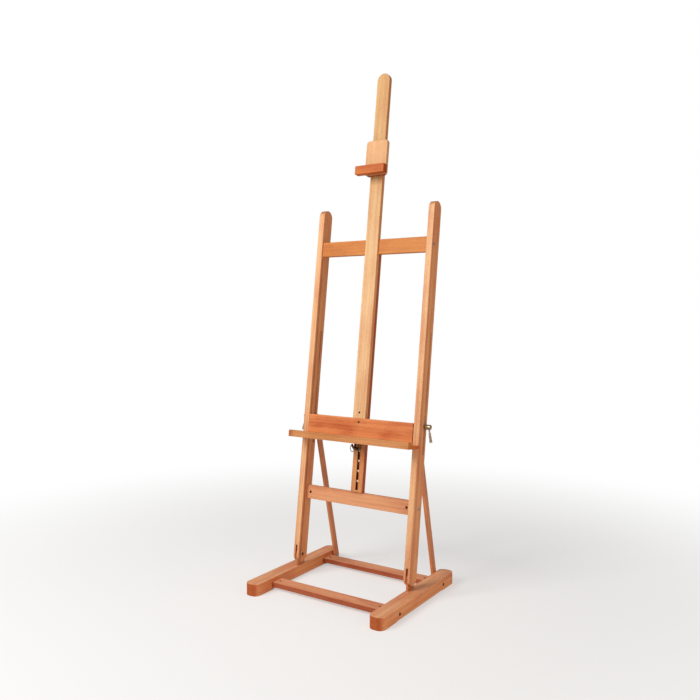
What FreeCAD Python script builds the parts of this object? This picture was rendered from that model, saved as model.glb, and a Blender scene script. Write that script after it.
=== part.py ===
"""Wooden studio easel: an H base, a leaning frame, and a shelf and mast that climb a ratchet post.

Frame of the part: +X to the right seen from the front, +Y backwards, +Z up, origin on the floor
at the middle of the base. Millimetres. Leaning pieces are drawn upright about the frame pivot,
x across, y backwards and z up along the frame, and are then leaned back by one placement.
"""
import FreeCAD
import Part
import math
import os

Vector = FreeCAD.Vector
Rotation = FreeCAD.Rotation
Placement = FreeCAD.Placement

# Base
base_width = 600.0            # over the outer faces of the feet
base_depth = 546.0            # length of a foot
foot_width = 59.0
foot_height = 45.0
foot_end_radius = 24.0        # rounding of a foot's ends seen from above
foot_pad_length = 100.0       # standing length at each end of a foot
foot_relief = 3.0             # hollow between the pads
base_bar_width = 54.0
base_bar_thickness = 19.0
base_bar_underside = 12.0     # height of the base bars above the floor
front_bar_y = -155.0          # middle of the front base bar
rear_bar_y = 177.0            # middle of the rear base bar

# Leaning frame
lean_angle = 7.68             # degrees back from upright
pivot_y = 6.0
pivot_z = 88.0
upright_inset = 37.5          # outer face of an upright inside the outer face of its foot
upright_width = 25.0
upright_depth = 56.0
upright_top = 1390.0          # above the pivot
top_bar_drop = 136.2          # top of the top bar below the tops of the uprights
top_bar_height = 58.0
top_bar_thickness = 20.0
top_bar_setback = 5.0         # behind the front of the uprights
lower_bar_bottom = 222.5
lower_bar_height = 53.0
lower_bar_thickness = 20.0
lower_bar_setback = 23.0
groove_setback = 7.5          # front of the shelf groove behind the front of the uprights
groove_width = 9.0
groove_depth = 7.0
groove_top_gap = 6.0          # groove ends this far under the top bar
clamp_slot_y = 12.0           # middle of the tilt slot
clamp_slot_width = 9.0
clamp_slot_bottom = 445.0
clamp_slot_top = 897.0

# Tongues that carry the uprights
tongue_thickness = 8.0
tongue_depth = 45.0
tongue_seat = 25.0            # depth let into the foot
bridle_clearance = 0.3        # each side of a tongue
bridle_top = 38.0             # top of the open slot above the pivot
pivot_bolt_radius = 4.0
pivot_head_radius = 6.0
pivot_head_height = 3.5
pivot_slot_width = 1.6        # driver slot in a pivot bolt's head
pivot_slot_depth = 1.2
pivot_end_cover = 3.5         # wood left over the blind end of the pivot bolt

# Ratchet post
post_width = 52.0
post_thickness = 20.0
ratchet_width = 11.0
tooth_pitch = 38.5
tooth_tip_depth = 4.0
tooth_root_depth = 14.0
seat_ledge = 438.0            # ledge that holds the shelf as drawn
ratchet_foot_gap = 8.0        # least plain post between the lower bar and the lowest ledge
ratchet_head_gap = 100.0      # least plain post between the highest tooth and the top bar
post_lap_short = 10.0         # the rear lap stops this far below the top of the top bar
tenon_width = 32.0
tenon_thickness = 8.0
tenon_length = 15.0

# Mast and shelf
mast_width = 56.5
mast_thickness = 18.0
mast_top = 1917.0
mast_gap = 1.0                # between the mast and the post behind it
mast_slide_gap = 0.5          # round the mast where it slides
board_thickness = 18.0
board_top = 559.0
tray_bottom = 467.0
tray_thickness = 13.0
tray_overhang = 5.5           # tray past the outer faces of the uprights
tray_front = -114.0           # front of the lip
lip_thickness = 20.0
lip_height = 25.4
shelf_end_gap = 1.0           # board to upright
tray_gap = 1.0                # tray to the front of the uprights
tongue_fit = 0.5              # shelf tongue in its groove
tongue_shoulder = 2.0         # shelf tongue below the top and above the foot of its board
plate_width = 30.0
plate_height = 100.0
plate_thickness = 2.0
plate_bottom = 505.0
mast_screw_height = 581.0
board_screw_height = 544.0

# Pawl under the tray
shaft_y = -25.0
shaft_radius = 3.0
shaft_above_ledge = 4.0
pawl_reach = 24.0
pawl_thickness = 8.0
pawl_hub_radius = 6.5
pawl_neck_height = 5.85       # top of the nose above the shaft, where it leaves the hub
pawl_tip_height = 5.0
pawl_seat_gap = 0.3           # nose to the ledge it rests on
ear_gap = 10.0                # inner faces of the ears from the middle
ear_thickness = 2.0
ear_radius = 5.5
ear_flange = 15.0             # turned-out foot of an ear, screwed up under the tray
ear_flange_depth = 18.0
shaft_end = 1.5               # shaft past the right ear
arm_length = 20.0
arm_thickness = 3.0
arm_radius = 5.0
arm_x = -15.5
arm_rise = 40.0               # degrees the ring arm points up, forwards, with the pawl home
eye_radius = 2.6
ring_radius = 14.0            # to the outside of the wire
ring_wire_radius = 1.3
ring_yaw = -24.0              # degrees the hanging ring is turned from square to the front

# Canvas clamp on the mast
clamp_cheek = 18.75           # plate past each edge of the mast
clamp_bottom = 1503.0
clamp_height = 140.0
clamp_thickness = 18.0
clamp_grip = 4.0              # the plate's rear channel reaches this far past the mast's front
clamp_corner = 13.0
clamp_lip_overhang = 18.0     # lip past each edge of the plate
clamp_lip_thickness = 26.0
clamp_lip_height = 33.0
clamp_lip_bottom = 1500.0
canvas_gap = 18.0             # channel between the plate and the lip
clamp_neck_height = 15.0
strap_height = 36.0
strap_bottom = 1557.0
strap_thickness = 2.0
strap_flange = 14.0
strap_boss_radius = 7.0
strap_boss_length = 5.0
knob_screw_radius = 3.0
knob_radius = 14.0
knob_length = 16.0
knob_standoff = 3.5
knob_edge_round = 2.5
knob_hollows = 8
knob_hollow_radius = 4.2
knob_hollow_offset = 2.6      # middle of a finger hollow outside the knob
knob_cover = 4.0              # wood over the end of the screw
knob_screw_gap = 0.2          # tip of the screw from the mast

# Struts and tilt clamps
strut_thickness = 12.0
strut_depth = 24.0
strut_foot_y = 234.0
strut_foot_z = 22.0
strut_gap = 0.5               # strut to upright
strut_side_gap = 0.3          # strut to its bolt's head and to its spacer
strut_bolt_depth = 28.0       # of the strut's bolt in the foot
strut_bolt_end_gap = 2.0
strut_head_radius = 5.5
strut_head_height = 3.5
strut_head_round = 1.2
spacer_radius = 9.0
clamp_height_on_frame = 548.0
clamp_bolt_radius = 4.0
bolt_dome_radius = 9.0
bolt_dome_height = 4.0
bolt_neck_gap = 0.3           # neck short of the strut's outer face
washer_radius = 12.0
washer_thickness = 2.5
washer_gap = 0.4
hub_gap = 0.2
hub_radius = 9.5
hub_length = 22.0
hub_round = 2.2
shank_end_gap = 0.6           # shank short of the upright's inner face
rod_from_hub_end = 13.64      # middle of the lever rod from the hub's inner end
rod_radius = 3.0
rod_length = 34.0
rod_splay = 13.0              # degrees the lever leans outwards
grip_start = 20.0
grip_length = 37.0
grip_thin_radius = 4.0
grip_thick_radius = 5.4
grip_round = 1.5
grip_end_gap = 0.5            # end of the rod to the bottom of the grip's bore

# Fasteners
bolt_radius = 3.0
bolt_head_radius = 6.0
bolt_head_height = 5.0
socket_radius = 2.5
counterbore_extra = 0.6       # round and above a sunk head
barrel_radius = 5.0
barrel_length = 14.0
barrel_inset = 19.0           # from the end of a bar to the barrel nut
bolt_past_barrel = 3.0
screw_radius = 2.0
screw_head_radius = 4.2
screw_head_height = 2.4
screw_slot_width = 1.0
screw_slot_length = 5.88
screw_slot_depth = 1.0
post_screw_bite = 6.0         # of a post screw in the top bar
tray_screw_length = 32.0
tray_screw_spread = 70.0      # inner tray screws from the middle
tray_screw_inset = 36.5       # outer tray screws from the end of the shelf board
ear_screw_length = 12.0
strap_screw_length = 13.0
shelf_screw_sink = 1.2        # heads of the shelf screws below the wood
shelf_screw_cover = 0.5       # plate left behind the tips of the shelf screws
fit = 0.05                    # running clearance round a shaft
hole_fit = 0.15               # clearance round a fixed bolt or nut
edge_round = 1.6              # eased edges of the timber
over = 1.0                    # how far a cutter runs past a face
flatness = 1e-6               # an edge this short along an axis lies square to it
lap = 4.0                     # how far two parts of one piece run into each other

# Places that follow from the sizes above
foot_inner_x = base_width / 2 - foot_width
upright_outer_x = base_width / 2 - upright_inset
upright_inner_x = upright_outer_x - upright_width
upright_mid_x = upright_outer_x - upright_width / 2
frame_front = -upright_depth / 2
top_bar_front = frame_front + top_bar_setback
top_bar_back = top_bar_front + top_bar_thickness
top_bar_top = upright_top - top_bar_drop
top_bar_bottom = top_bar_top - top_bar_height
lower_bar_front = frame_front + lower_bar_setback
lower_bar_back = lower_bar_front + lower_bar_thickness
lower_bar_top = lower_bar_bottom + lower_bar_height
groove_front = frame_front + groove_setback
groove_back = groove_front + groove_width
board_back = groove_back - tongue_fit
board_front = board_back - board_thickness
mast_back = board_back
mast_front = mast_back - mast_thickness
post_front = mast_back + mast_gap
post_back = post_front + post_thickness
lap_plane = (mast_front + mast_back) / 2
tray_top = tray_bottom + tray_thickness
tray_half_width = upright_outer_x + tray_overhang
shelf_end = upright_inner_x - shelf_end_gap
# The ramp above the highest ledge takes one more pitch than the ledges themselves.
teeth_below = math.floor((seat_ledge - lower_bar_top - ratchet_foot_gap) / tooth_pitch)
teeth_above = math.floor((top_bar_bottom - ratchet_head_gap - seat_ledge) / tooth_pitch) - 1
tray_back = frame_front - tray_gap
shaft_z = seat_ledge + shaft_above_ledge
clamp_back = mast_front + clamp_grip
clamp_front = clamp_back - clamp_thickness
clamp_half_width = mast_width / 2 + clamp_cheek
strap_back = mast_back + mast_slide_gap
bar_middle_z = base_bar_underside + base_bar_thickness / 2
strut_outer_x = upright_inner_x - strut_gap
strut_inner_x = strut_outer_x - strut_thickness


def box(x0, x1, y0, y1, z0, z1):
    return Part.makeBox(x1 - x0, y1 - y0, z1 - z0, Vector(x0, y0, z0))


def board(x0, x1, y0, y1, z0, z1, ease=edge_round):
    """A planed board with all its edges eased."""
    plain = box(x0, x1, y0, y1, z0, z1)
    return plain.makeFillet(ease, plain.Edges)


def rod_x(x0, x1, y, z, radius):
    return Part.makeCylinder(radius, x1 - x0, Vector(x0, y, z), Vector(1, 0, 0))


def rod_y(y0, y1, x, z, radius):
    return Part.makeCylinder(radius, y1 - y0, Vector(x, y0, z), Vector(0, 1, 0))


def outline_x(points, x0, x1):
    """A prism along X from an outline given as (y, z) points."""
    wire = Part.makePolygon([Vector(x0, y, z) for y, z in points + points[:1]])
    return Part.Face(wire).extrude(Vector(x1 - x0, 0, 0))


def capsule_x(x0, x1, y, z0, z1, radius):
    """A round-ended bar or slot along Z, z0 and z1 at the middles of its ends, through X."""
    left, right = y - radius, y + radius
    sides = [
        Part.LineSegment(Vector(x0, left, z0), Vector(x0, left, z1)),
        Part.Arc(Vector(x0, left, z1), Vector(x0, y, z1 + radius), Vector(x0, right, z1)),
        Part.LineSegment(Vector(x0, right, z1), Vector(x0, right, z0)),
        Part.Arc(Vector(x0, right, z0), Vector(x0, y, z0 - radius), Vector(x0, left, z0)),
    ]
    wire = Part.Wire([side.toShape() for side in sides])
    return Part.Face(wire).extrude(Vector(x1 - x0, 0, 0))


def ease_ends(shape, axis, radius):
    """Ease the edges that outline a prism's two end faces along an axis."""
    edges = [e for e in shape.Edges if abs(getattr(e.BoundBox, axis + "Length")) < flatness]
    return shape.makeFillet(radius, edges)


def mirrored(shape):
    return shape.mirror(Vector(0, 0, 0), Vector(1, 0, 0))


def turned(shape, degrees, y, z):
    """A copy turned about the X direction through (y, z)."""
    copy = shape.copy()
    copy.rotate(Vector(0, y, z), Vector(1, 0, 0), degrees)
    return copy


def leaned(shape):
    """A copy put on the frame pivot and leaned back."""
    place = Placement(Vector(0, pivot_y, pivot_z), Rotation(Vector(1, 0, 0), -lean_angle))
    return shape.transformed(place.toMatrix(), True)


def group(shapes):
    return Part.makeCompound(shapes)


def both_sides(shape):
    return [shape, mirrored(shape)]


def sunk_bolt(outer_x, inner_x, y, z):
    """A bolt along X whose head is sunk in a face at outer_x, with a hexagon socket."""
    head_face = outer_x - counterbore_extra
    head = rod_x(head_face - bolt_head_height, head_face, y, z, bolt_head_radius)
    shank = rod_x(inner_x, head_face - bolt_head_height, y, z, bolt_radius)
    corners = [
        (y + socket_radius * math.cos(math.radians(60 * k)),
         z + socket_radius * math.sin(math.radians(60 * k)))
        for k in range(6)
    ]
    socket = outline_x(corners, head_face - bolt_head_height / 2, head_face + over)
    return head.fuse(shank).removeSplitter().cut(socket)


def sunk_bolt_hole(outer_x, inner_x, y, z):
    """The hole and counterbore for a sunk bolt."""
    floor = outer_x - counterbore_extra - bolt_head_height
    bore = rod_x(inner_x, floor + over, y, z, bolt_radius + hole_fit)
    counterbore = rod_x(floor, outer_x + over, y, z, bolt_head_radius + counterbore_extra)
    return bore.fuse(counterbore)


def barrel_nut(x, y, z, axis):
    """A barrel nut with its cross hole along X; axis is the way its hole was drilled."""
    start = Vector(x, y, z) - axis * (barrel_length / 2)
    body = Part.makeCylinder(barrel_radius, barrel_length, start, axis)
    return body.cut(rod_x(x - barrel_radius - over, x + barrel_radius + over, y, z, bolt_radius + hole_fit))


def barrel_hole(x, y, z, axis, to_surface):
    """A blind hole for a barrel nut, open at the far end along axis."""
    start = Vector(x, y, z) - axis * (barrel_length / 2 + hole_fit)
    length = barrel_length / 2 + hole_fit + to_surface + over
    return Part.makeCylinder(barrel_radius + hole_fit, length, start, axis)


def wood_screw(tip, head_end, direction):
    """A countersunk screw along Y or Z, from its head's face back to its tip."""
    length = (head_end - tip).Length
    cone = Part.makeCone(screw_head_radius, screw_radius, screw_head_height, head_end, direction * -1)
    shank = Part.makeCylinder(screw_radius, length - screw_head_height, tip, direction)
    body = cone.fuse(shank).removeSplitter()
    along = Vector(1, 0, 0) * screw_slot_length
    across = direction.cross(Vector(1, 0, 0)) * screw_slot_width
    corner = head_end - (along + across) / 2 - direction * screw_slot_depth
    floor = Part.makePolygon([corner, corner + along, corner + along + across, corner + across, corner])
    return body.cut(Part.Face(floor).extrude(direction * (screw_slot_depth + over)))


def screw_hole(tip, head_end, direction):
    """The pilot hole and countersink of a wood screw, opened past the surface."""
    length = (head_end - tip).Length
    head_radius = screw_head_radius + hole_fit
    pilot_radius = screw_radius + hole_fit
    cone_start = head_end - direction * (screw_head_height + hole_fit)
    cone = Part.makeCone(pilot_radius, head_radius, screw_head_height + hole_fit, cone_start, direction)
    mouth = Part.makeCylinder(head_radius, 3 * over, head_end, direction)
    pilot = Part.makeCylinder(pilot_radius, length, tip - direction * hole_fit, direction)
    return cone.fuse(mouth).fuse(pilot)


# ---- base ----

def base_bolt_line(bar_y):
    """Ends of a base bolt on the right: outer face of the foot, and past its barrel nut."""
    inner = foot_inner_x - barrel_inset - barrel_radius - bolt_past_barrel
    return base_width / 2, inner, bar_y, bar_middle_z


def foot_right():
    y0 = -base_depth / 2
    blank = box(foot_inner_x, base_width / 2, y0, -y0, 0, foot_height)
    upright_edges = [e for e in blank.Edges if e.BoundBox.ZLength > foot_height / 2]
    blank = blank.makeFillet(foot_end_radius, upright_edges)
    rims = [e for e in blank.Edges if e.BoundBox.ZLength < flatness]
    blank = blank.makeFillet(edge_round, rims)
    hollow = box(foot_inner_x - over, base_width / 2 + over, y0 + foot_pad_length, -y0 - foot_pad_length,
                 -over, foot_relief)
    foot = blank.cut(hollow)
    mortise = box(upright_mid_x - tongue_thickness / 2, upright_mid_x + tongue_thickness / 2,
                  pivot_y - tongue_depth / 2, pivot_y + tongue_depth / 2,
                  foot_height - tongue_seat, foot_height + over)
    foot = foot.cut(mortise)
    for bar_y in (front_bar_y, rear_bar_y):
        outer, inner, y, z = base_bolt_line(bar_y)
        foot = foot.cut(sunk_bolt_hole(outer, inner, y, z))
    return foot.cut(strut_pivot_hole())


def base_bar(bar_y):
    y0, y1 = bar_y - base_bar_width / 2, bar_y + base_bar_width / 2
    top = base_bar_underside + base_bar_thickness
    bar = board(-foot_inner_x, foot_inner_x, y0, y1, base_bar_underside, top)
    up = Vector(0, 0, 1)
    for side in (-1, 1):
        barrel_x = side * (foot_inner_x - barrel_inset)
        bar = bar.cut(barrel_hole(barrel_x, bar_y, bar_middle_z, up, base_bar_thickness / 2))
    inner = base_bolt_line(bar_y)[1]
    bolt = rod_x(inner - over, foot_inner_x + over, bar_y, bar_middle_z, bolt_radius + hole_fit)
    return bar.cut(bolt).cut(mirrored(bolt))


def base_bolts():
    bolts = []
    for bar_y in (front_bar_y, rear_bar_y):
        bolts += both_sides(sunk_bolt(*base_bolt_line(bar_y)))
    return group(bolts)


def base_barrel_nuts():
    nuts = []
    for bar_y in (front_bar_y, rear_bar_y):
        nuts += both_sides(barrel_nut(foot_inner_x - barrel_inset, bar_y, bar_middle_z, Vector(0, 0, 1)))
    return group(nuts)


def tongue_right():
    """Hardwood plate let into the foot, rounded about the pivot."""
    x0 = upright_mid_x - tongue_thickness / 2
    x1 = upright_mid_x + tongue_thickness / 2
    radius = tongue_depth / 2
    bottom = foot_height - tongue_seat
    plate = capsule_x(x0, x1, pivot_y, bottom + radius, pivot_z, radius)
    plate = plate.fuse(box(x0, x1, pivot_y - radius, pivot_y + radius, bottom, bottom + radius))
    plate = plate.removeSplitter()
    return plate.cut(rod_x(x0 - over, x1 + over, pivot_y, pivot_z, pivot_bolt_radius + fit))


# ---- leaning frame ----

def upright_right():
    radius = upright_depth / 2
    blank = capsule_x(upright_inner_x, upright_outer_x, 0, 0, upright_top - radius, radius)
    upright = ease_ends(blank, "X", edge_round)
    half_slot = tongue_thickness / 2 + bridle_clearance
    upright = upright.cut(box(upright_mid_x - half_slot, upright_mid_x + half_slot,
                              -radius - over, radius + over, -radius - over, bridle_top))
    upright = upright.cut(box(upright_inner_x - over, upright_inner_x + groove_depth,
                              groove_front, groove_back,
                              -radius - over, top_bar_bottom - groove_top_gap))
    slot_radius = clamp_slot_width / 2
    slot_low = clamp_slot_bottom + slot_radius
    slot_high = clamp_slot_top - slot_radius
    upright = upright.cut(capsule_x(upright_inner_x - over, upright_outer_x + over, clamp_slot_y,
                                    slot_low, slot_high, slot_radius))
    head_room = pivot_head_height + counterbore_extra
    pivot = rod_x(upright_inner_x - over, upright_outer_x - pivot_end_cover, 0, 0, pivot_bolt_radius + fit)
    pivot = pivot.fuse(rod_x(upright_inner_x - over, upright_inner_x + head_room, 0, 0,
                             pivot_head_radius + counterbore_extra))
    upright = upright.cut(pivot)
    for line in crossbar_bolt_lines():
        upright = upright.cut(sunk_bolt_hole(*line))
    return upright


def crossbar_bolt_lines():
    """Outer end, inner end and place of the two bolts through the right upright."""
    inner = upright_inner_x - barrel_inset - barrel_radius - bolt_past_barrel
    top = (upright_outer_x, inner, (top_bar_front + top_bar_back) / 2, top_bar_bottom + top_bar_height / 2)
    low = (upright_outer_x, inner, (lower_bar_front + lower_bar_back) / 2,
           lower_bar_bottom + lower_bar_height / 2)
    return top, low


def drilled_for_bolts(bar, line, axis, to_surface):
    """A crossbar with its end bolt holes and barrel nut holes."""
    _, inner, y, z = line
    barrel_x = upright_inner_x - barrel_inset
    for hole in (rod_x(inner - over, upright_inner_x + over, y, z, bolt_radius + hole_fit),
                 barrel_hole(barrel_x, y, z, axis, to_surface)):
        bar = bar.cut(hole).cut(mirrored(hole))
    return bar


def top_crossbar():
    """Housed at the front for the mast; its barrel nuts go in from the back."""
    bar = board(-upright_inner_x, upright_inner_x, top_bar_front, top_bar_back, top_bar_bottom, top_bar_top)
    half = mast_width / 2 + mast_slide_gap
    housing = box(-half, half, top_bar_front - over, mast_back + mast_slide_gap, top_bar_bottom - over,
                  top_bar_top + over)
    line = crossbar_bolt_lines()[0]
    bar = drilled_for_bolts(bar.cut(housing), line, Vector(0, 1, 0), top_bar_thickness / 2)
    for tip, head, way in post_screw_lines():
        bar = bar.cut(screw_hole(tip, head, way))
    return bar


def lower_crossbar():
    """Its barrel nuts go in from the front, and the post stands in a mortise in its top edge."""
    bar = board(-upright_inner_x, upright_inner_x, lower_bar_front, lower_bar_back, lower_bar_bottom,
                lower_bar_top)
    line = crossbar_bolt_lines()[1]
    bar = drilled_for_bolts(bar, line, Vector(0, -1, 0), lower_bar_thickness / 2)
    return bar.cut(post_tenon(hole_fit))


def post_tenon(clearance):
    middle = (lower_bar_front + lower_bar_back) / 2
    half_width = tenon_width / 2 + clearance
    half_thickness = tenon_thickness / 2 + clearance
    return box(-half_width, half_width, middle - half_thickness, middle + half_thickness,
               lower_bar_top - tenon_length - clearance, lower_bar_top + clearance)


def ratchet_groove():
    """The central groove: ledges that face up, and ramps that come forward above each ledge."""
    tip = post_front + tooth_tip_depth
    root = post_front + tooth_root_depth
    lowest = seat_ledge - teeth_below * tooth_pitch
    teeth = teeth_below + teeth_above + 1
    points = [(post_front - over, lowest)]
    for step in range(teeth):
        ledge = lowest + step * tooth_pitch
        points.append((root, ledge))
        points.append((tip, ledge + tooth_pitch))
    points.append((post_front - over, lowest + teeth * tooth_pitch))
    return outline_x(points, -ratchet_width / 2, ratchet_width / 2)


def post_screw_lines():
    """Screws from the back of the post into the top bar."""
    z = top_bar_bottom + top_bar_height / 2
    backwards = Vector(0, 1, 0)
    length = post_back - top_bar_back + post_screw_bite
    lines = []
    for x in (-post_width / 4, post_width / 4):
        head = Vector(x, post_back, z)
        lines.append((head - backwards * length, head, backwards))
    return lines


def ratchet_post():
    half = post_width / 2
    post = board(-half, half, post_front, post_back, lower_bar_top, top_bar_top - post_lap_short)
    post = post.cut(box(-half - over, half + over, post_front - over, top_bar_back, top_bar_bottom,
                        top_bar_top))
    post = post.cut(ratchet_groove()).fuse(post_tenon(0)).removeSplitter()
    for tip, head, way in post_screw_lines():
        post = post.cut(screw_hole(tip, head, way))
    return post


def post_screws():
    return group([wood_screw(*line) for line in post_screw_lines()])


def crossbar_bolts():
    bolts = []
    for line in crossbar_bolt_lines():
        bolts += both_sides(sunk_bolt(*line))
    return group(bolts)


def crossbar_barrel_nuts():
    top, low = crossbar_bolt_lines()
    x = upright_inner_x - barrel_inset
    nuts = both_sides(barrel_nut(x, top[2], top[3], Vector(0, 1, 0)))
    return group(nuts + both_sides(barrel_nut(x, low[2], low[3], Vector(0, -1, 0))))


def pivot_bolts():
    """Slotted bolts sunk in the inner faces, on which the uprights turn about the tongues."""
    head_face = upright_inner_x + counterbore_extra
    head = rod_x(head_face, head_face + pivot_head_height, 0, 0, pivot_head_radius)
    end = upright_outer_x - pivot_end_cover - counterbore_extra
    shank = rod_x(head_face + pivot_head_height, end, 0, 0, pivot_bolt_radius)
    bolt = head.fuse(shank).removeSplitter()
    half_slot = pivot_slot_width / 2
    bolt = bolt.cut(box(head_face - over, head_face + pivot_slot_depth,
                        -pivot_head_radius - over, pivot_head_radius + over, -half_slot, half_slot))
    return group(both_sides(bolt))


# ---- shelf and mast ----

def mast():
    """Round-topped mast, half lapped behind the shelf board at its foot."""
    half = mast_width / 2
    left_foot = Vector(-half, mast_front, tray_top)
    right_foot = Vector(half, mast_front, tray_top)
    left_spring = Vector(-half, mast_front, mast_top - half)
    right_spring = Vector(half, mast_front, mast_top - half)
    sides = [
        Part.LineSegment(left_foot, left_spring),
        Part.Arc(left_spring, Vector(0, mast_front, mast_top), right_spring),
        Part.LineSegment(right_spring, right_foot),
        Part.LineSegment(right_foot, left_foot),
    ]
    blank = Part.Face(Part.Wire([side.toShape() for side in sides])).extrude(Vector(0, mast_thickness, 0))
    shape = ease_ends(blank, "Y", edge_round)
    shape = shape.cut(box(-half - over, half + over, mast_front - over, lap_plane, tray_top - over,
                          board_top))
    shape = shape.cut(joint_plate_blank())
    for line in shelf_screw_lines():
        shape = shape.cut(screw_hole(*line))
    return shape


def joint_plate_blank():
    half = plate_width / 2
    return box(-half, half, mast_back - plate_thickness, mast_back, plate_bottom,
               plate_bottom + plate_height)


def mast_joint_plate():
    plate = joint_plate_blank()
    for line in shelf_screw_lines():
        plate = plate.cut(screw_hole(*line))
    return plate


def shelf_screw_lines():
    """Screws from the front, one in the mast and one in the board, into the plate behind."""
    lines = []
    for z, front in ((mast_screw_height, mast_front), (board_screw_height, board_front)):
        head = Vector(0, front + shelf_screw_sink, z)
        tip = Vector(0, mast_back - shelf_screw_cover, z)
        lines.append((tip, head, Vector(0, -1, 0)))
    return lines


def shelf_screws():
    return group([wood_screw(*line) for line in shelf_screw_lines()])


def shelf_board():
    """Board between the uprights, with tongues in their grooves and a housing for the mast."""
    shape = board(-shelf_end, shelf_end, board_front, board_back, tray_top, board_top)
    tongue_end = upright_inner_x + groove_depth - tongue_fit
    tongue = box(shelf_end - lap, tongue_end, groove_front + tongue_fit, board_back,
                 tray_top + tongue_shoulder, board_top - tongue_shoulder)
    shape = shape.fuse([tongue, mirrored(tongue)]).removeSplitter()
    half = mast_width / 2
    shape = shape.cut(box(-half, half, lap_plane, board_back + over, tray_top - over, board_top + over))
    shape = shape.cut(screw_hole(*shelf_screw_lines()[1]))
    for line in tray_screw_lines():
        shape = shape.cut(screw_hole(*line))
    return shape


def tray_screw_lines():
    """Screws up through the tray into the board."""
    y = (board_front + board_back) / 2
    lines = []
    outer = shelf_end - tray_screw_inset
    for x in (-outer, -tray_screw_spread, tray_screw_spread, outer):
        head = Vector(x, y, tray_bottom)
        lines.append((head + Vector(0, 0, tray_screw_length), head, Vector(0, 0, -1)))
    return lines


def tray_screws():
    return group([wood_screw(*line) for line in tray_screw_lines()])


def tray_board():
    """Tray in front of the uprights, with a narrower part that runs under the shelf board."""
    half = tray_half_width
    front = tray_front + lip_thickness
    tray = board(-half, half, front - edge_round, tray_back, tray_bottom, tray_top)
    tray = tray.cut(box(-half - over, half + over, front - edge_round - over, front, tray_bottom - over,
                        tray_top + over))
    tray = tray.fuse(box(-shelf_end, shelf_end, tray_back - lap, board_back, tray_bottom, tray_top))
    tray = tray.removeSplitter()
    for line in tray_screw_lines():
        tray = tray.cut(screw_hole(*line))
    for line in ear_screw_lines():
        tray = tray.cut(screw_hole(*line))
    return tray


def tray_lip():
    half = tray_half_width
    return board(-half, half, tray_front, tray_front + lip_thickness, tray_bottom, tray_bottom + lip_height)


# ---- pawl ----

def ear_right():
    """Angle ear under the tray that carries the pawl shaft."""
    ear = capsule_x(ear_gap, ear_gap + ear_thickness, shaft_y, shaft_z, tray_bottom - ear_radius,
                    ear_radius)
    ear = ear.fuse(box(ear_gap, ear_gap + ear_thickness, shaft_y - ear_radius, shaft_y + ear_radius,
                       tray_bottom - ear_radius, tray_bottom))
    half_flange = ear_flange_depth / 2
    ear = ear.fuse(box(ear_gap, ear_gap + ear_flange, shaft_y - half_flange, shaft_y + half_flange,
                       tray_bottom - ear_thickness, tray_bottom)).removeSplitter()
    return ear.cut(rod_x(ear_gap - over, ear_gap + ear_thickness + over, shaft_y, shaft_z,
                         shaft_radius + fit))


def ear_screw_lines():
    lines = []
    x = ear_gap + (ear_flange + ear_thickness) / 2
    for side in (-1, 1):
        head = Vector(side * x, shaft_y, tray_bottom - ear_thickness)
        lines.append((head + Vector(0, 0, ear_screw_length), head, Vector(0, 0, -1)))
    return lines


def pawl_ears():
    left_line, right_line = ear_screw_lines()
    right = ear_right().cut(screw_hole(*right_line))
    left = mirrored(ear_right()).cut(screw_hole(*left_line))
    return group([left, right])


def ear_screws():
    return group([wood_screw(*line) for line in ear_screw_lines()])


def pawl():
    """Steel nose on the shaft, resting on its ledge in the ratchet."""
    half = pawl_thickness / 2
    under = seat_ledge + pawl_seat_gap
    tip = shaft_y + pawl_reach
    nose = outline_x([(shaft_y, shaft_z + pawl_neck_height), (tip, under + pawl_tip_height),
                      (tip, under), (shaft_y, under)], -half, half)
    shape = nose.fuse(rod_x(-half, half, shaft_y, shaft_z, pawl_hub_radius)).removeSplitter()
    return shape.cut(rod_x(-half - over, half + over, shaft_y, shaft_z, shaft_radius + fit))


def pawl_shaft():
    end = ear_gap + ear_thickness + shaft_end
    return rod_x(arm_x - arm_thickness / 2 - shaft_end, end, shaft_y, shaft_z, shaft_radius)


def arm_eye():
    """Middle of the hole that carries the pull ring, as (y, z)."""
    rise = math.radians(arm_rise)
    return shaft_y - arm_length * math.cos(rise), shaft_z + arm_length * math.sin(rise)


def pawl_arm():
    x0, x1 = arm_x - arm_thickness / 2, arm_x + arm_thickness / 2
    arm = capsule_x(x0, x1, shaft_y, shaft_z, shaft_z + arm_length, arm_radius)
    arm = arm.cut(rod_x(x0 - over, x1 + over, shaft_y, shaft_z, shaft_radius + fit))
    arm = arm.cut(rod_x(x0 - over, x1 + over, shaft_y, shaft_z + arm_length, eye_radius))
    return turned(arm, 90 - arm_rise, shaft_y, shaft_z)


def pull_ring():
    """Wire ring through the eye of the arm, which hangs plumb while the frame leans."""
    y, z = arm_eye()
    lean = math.radians(lean_angle)
    plumb = Vector(0, math.sin(lean), -math.cos(lean))
    middle = ring_radius - ring_wire_radius
    yaw = math.radians(ring_yaw)
    across = Vector(math.cos(yaw), math.sin(yaw) * math.cos(lean), math.sin(yaw) * math.sin(lean))
    return Part.makeTorus(middle, ring_wire_radius, Vector(arm_x, y, z) + plumb * middle,
                          plumb.cross(across))


# ---- canvas clamp ----

def clamp_plate():
    """Plate with rounded corners and a channel at the back that rides on the mast."""
    half = clamp_half_width
    plate = box(-half, half, clamp_front, clamp_back, clamp_bottom, clamp_bottom + clamp_height)
    corners = [e for e in plate.Edges if e.BoundBox.YLength > clamp_thickness / 2]
    plate = ease_ends(plate.makeFillet(clamp_corner, corners), "Y", edge_round)
    channel = mast_width / 2 + mast_slide_gap
    plate = plate.cut(box(-channel, channel, mast_front - mast_slide_gap, clamp_back + over,
                          clamp_bottom - over, clamp_bottom + clamp_height + over))
    for line in strap_screw_lines():
        plate = plate.cut(screw_hole(*line))
    return plate


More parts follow.
